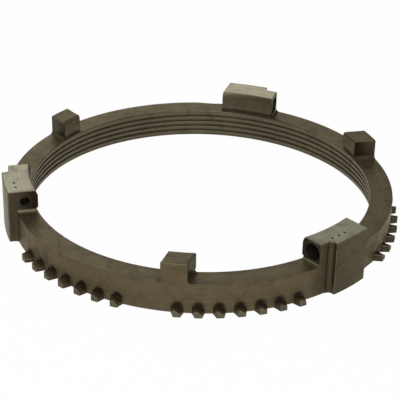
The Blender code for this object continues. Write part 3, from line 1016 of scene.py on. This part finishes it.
def edge_finish(face, stands_out):
    """Finish of a rounded edge: painted shade in corners, bare steel on the tall lugs' tops, else as near
    it.
    """
    middle = face.calc_center_median()
    radius = math.hypot(middle.x, middle.y)
    if not stands_out:
        return "hollow"
    if middle.z > LUG_TOP - TALL_LUG_ROUNDING:
        return "worn edge"
    if radius > PAD_RADIUS - TALL_LUG_ROUNDING and abs(lug_frame(middle).y) < HALF_LUG + EDGE_ROUNDING:
        return "tooth tip"
    if middle.z > STOP_LUG_TOP - STOP_LUG_ROUNDING:
        return "milled face"
    if radius < cone_radius(middle.z) + 2 * EDGE_ROUNDING and middle.z < RING_HEIGHT - EDGE_ROUNDING:
        return "cone"
    if abs(middle.z - RING_HEIGHT) < 2 * EDGE_ROUNDING:
        return "milled face"
    return "tooth tip" if radius > RING_RADIUS + EDGE_ROUNDING else "milled side"


def finished(item, finishes):
    """Give every face its finish."""
    mesh = bmesh.new()
    mesh.from_mesh(item.data)
    names = list(finishes)
    rounded_faces = {face for face in mesh.faces if face.material_index == names.index("worn edge")}
    for face in mesh.faces:
        if face in rounded_faces:
            middle = face.calc_center_median()
            beside = [other for edge in face.edges for other in edge.link_faces if other is not face]
            ways = [(other.calc_center_median() - middle).normalized() for other in beside]
            rise = sum(way.dot(face.normal) for way in ways)
            face.material_index = names.index(edge_finish(face, rise < 0.0))
        else:
            face.material_index = names.index(finish_of(face))
    mesh.to_mesh(item.data)
    mesh.free()


def floor_brightness(tree, is_seen, is_mirrored):
    """How bright the floor is to the camera, and to the metal, which sees its front more brightly."""
    x, y, _ = object_place(tree)[1]
    sideways = maths(tree, "MULTIPLY", x, math.sin(TURN))
    nearness = maths(tree, "SUBTRACT", sideways, maths(tree, "MULTIPLY", y, math.cos(TURN)))
    in_front = stretched(tree, nearness, FRONT_START, FRONT_END)
    mirrored = maths(tree, "ADD", maths(tree, "MULTIPLY", in_front, FRONT_BRIGHTNESS), MIRRORED_BRIGHTNESS)
    to_camera = maths(tree, "MULTIPLY", is_seen, SEEN_BRIGHTNESS)
    return maths(tree, "MAXIMUM", to_camera, maths(tree, "MULTIPLY", is_mirrored, mirrored))


def shader_mix(tree, factor, one, other):
    """Mix two shaders and give back the result."""
    mix = add(tree, "ShaderNodeMixShader")
    feed(tree, mix.inputs[0], factor)
    feed(tree, mix.inputs[1], one)
    feed(tree, mix.inputs[2], other)
    return mix.outputs[0]


def floor():
    """White floor for the camera and for reflections, brightest in front, that shows the ring from below."""
    bpy.ops.mesh.primitive_plane_add(size=FLOOR_SIZE, location=(0.0, 0.0, -FLOOR_GAP))
    item = bpy.context.object
    item.name = "floor"
    material = bpy.data.materials.new("white_floor")
    material.use_nodes = True
    tree = material.node_tree
    shader = tree.nodes["Principled BSDF"]
    shader.inputs["Base Color"].default_value = (FLOOR_GREY, FLOOR_GREY, FLOOR_GREY, 1.0)
    shader.inputs["Roughness"].default_value = FLOOR_ROUGHNESS
    shader.inputs["Specular IOR Level"].default_value = 0.0
    path = add(tree, "ShaderNodeLightPath")
    is_seen = path.outputs["Is Camera Ray"]
    brightness = floor_brightness(tree, is_seen, path.outputs["Is Glossy Ray"])
    white = add(tree, "ShaderNodeEmission").outputs[0]
    lit = shader_mix(tree, brightness, shader.outputs[0], white)
    facing_away = add(tree, "ShaderNodeNewGeometry").outputs["Backfacing"]
    from_below = maths(tree, "MULTIPLY", facing_away, is_seen)
    clear = add(tree, "ShaderNodeBsdfTransparent").outputs[0]
    surface = shader_mix(tree, from_below, lit, clear)
    feed(tree, tree.nodes["Material Output"].inputs["Surface"], surface)
    item.data.materials.append(material)


def area_light(name, place, size, power):
    """Soft square light that looks at the ring."""
    light = bpy.data.lights.new(name, "AREA")
    light.size = size
    light.energy = power
    item = bpy.data.objects.new(name, light)
    bpy.context.collection.objects.link(item)
    item.location = Matrix.Rotation(TURN, 3, "Z") @ Vector(place)
    item.rotation_euler = (-item.location).to_track_quat("-Z", "Y").to_euler()


def lights():
    """Soft lights all round, strongest in front and on the left, in a room that is white to the camera."""
    world = bpy.data.worlds.new("white room")
    bpy.context.scene.world = world
    world.use_nodes = True
    tree = world.node_tree
    background = tree.nodes["Background"]
    background.inputs["Color"].default_value = (1.0, 1.0, 1.0, 1.0)
    seen = add(tree, "ShaderNodeLightPath").outputs["Is Camera Ray"]
    feed(tree, background.inputs["Strength"], maths(tree, "MAXIMUM", seen, WORLD_LIGHT))
    for name, place, size, power in LIGHTS:
        area_light(name, place, size, power)


def camera():
    """Camera at the photograph's place, angle and framing."""
    away = Vector((0.0, math.cos(ELEVATION), -math.sin(ELEVATION)))
    level = Vector((1.0, 0.0, 0.0))
    upright = level.cross(away)
    right = level * math.cos(ROLL) + upright * math.sin(ROLL)
    up = upright * math.cos(ROLL) - level * math.sin(ROLL)
    offset = right * SHIFT_X - up * SHIFT_Y
    place = (-away * DISTANCE - offset * (DISTANCE / FOCAL_LENGTH)) * RING_RADIUS
    axes = Matrix((right, up, -away)).transposed().to_4x4()
    lens = bpy.data.cameras.new("camera")
    lens.sensor_width = SENSOR_WIDTH
    lens.lens = SENSOR_WIDTH * FOCAL_LENGTH / PICTURE_SIZE
    lens.clip_start = CLIP_START
    item = bpy.data.objects.new("camera", lens)
    bpy.context.collection.objects.link(item)
    item.matrix_world = Matrix.Rotation(TURN, 4, "Z") @ Matrix.Translation(place) @ axes
    bpy.context.scene.camera = item


finishes = steel_finishes()
EDGE_SLOT = list(finishes).index("worn edge")
ring_piece = ring()
ring_piece.data.materials.clear()
for material in finishes.values():
    ring_piece.data.materials.append(material)
rounded(ring_piece, STOP_LUG_ROUNDING, LUG_EDGE_STEPS, on_stop_lug_top)
rounded(ring_piece, TALL_LUG_ROUNDING, LUG_EDGE_STEPS, on_tall_lug)
rounded(ring_piece, EDGE_ROUNDING, EDGE_STEPS, lambda edge: True)

# The rounding ends a little above the tops where a slot or a chamfer meets them
for vertex in ring_piece.data.vertices:
    vertex.co.z = min(vertex.co.z, LUG_TOP)

finished(ring_piece, finishes)
bpy.ops.object.shade_smooth_by_angle(angle=SMOOTH_ANGLE)
apply(ring_piece, "WEIGHTED_NORMAL", keep_sharp=True)
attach(ring_piece, "root")
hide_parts("synchronizer_ring")

floor()
lights()
camera()
bpy.context.scene.view_settings.view_transform = "Standard"
